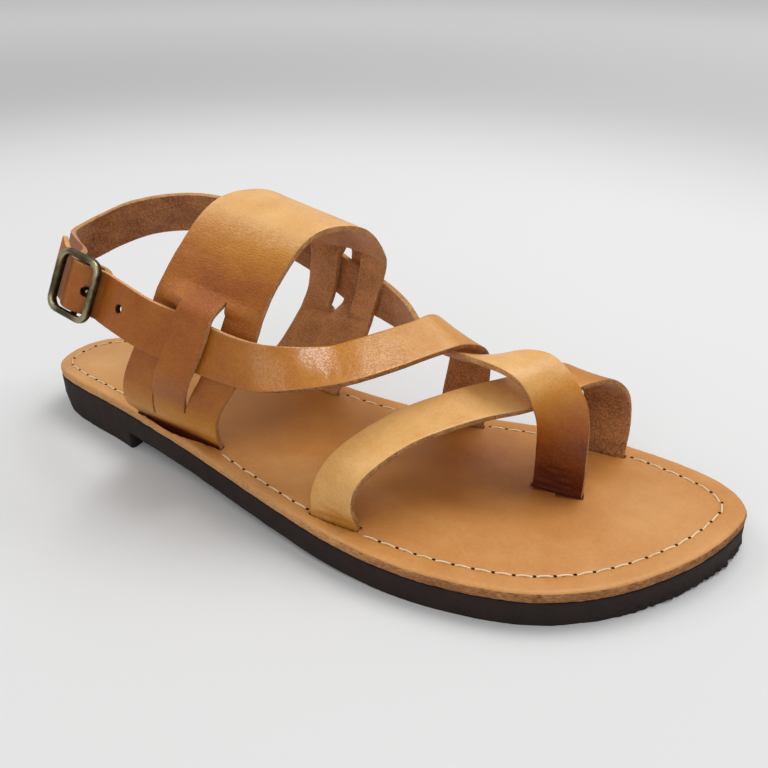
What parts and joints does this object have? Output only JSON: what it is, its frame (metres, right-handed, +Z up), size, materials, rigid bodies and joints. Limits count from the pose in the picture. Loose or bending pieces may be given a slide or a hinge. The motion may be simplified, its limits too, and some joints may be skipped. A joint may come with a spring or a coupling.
{
  "type": "gladiator sandal",
  "caption": "Right-foot leather sandal with a wide instep cuff, crossing straps laced through its slits, a toe strap, a buckled heel strap and a low heel.",
  "frame": {"origin": "on the ground under the middle of the heel seat", "axes": "+X towards the toes, +Y towards the inner side of the foot, +Z up from the ground"},
  "size_m": [0.2713, 0.1028, 0.0993],
  "materials": {
    "footbed_leather": "smooth vegetable-tanned leather, honey tan, burnished darker in places",
    "strap_leather": "semi-gloss vegetable-tanned leather, rough brown flesh side, pale cut edges",
    "sole_rubber": "matt dark brown rubber",
    "antique_brass": "dark antique brass, worn bright on the edges",
    "thread": "waxed cream thread"
  },
  "bodies": {
    "root": {"outsole": "sole_rubber", "heel": "sole_rubber", "footbed": "footbed_leather", "upper_instep_cuff": "strap_leather", "upper_ball_strap": "strap_leather", "upper_lateral_strap": "strap_leather", "upper_medial_strap": "strap_leather", "buckle_frame": "antique_brass", "buckle_prong": "antique_brass", "buckle_chape": "strap_leather"}
  },
  "joints": []
}
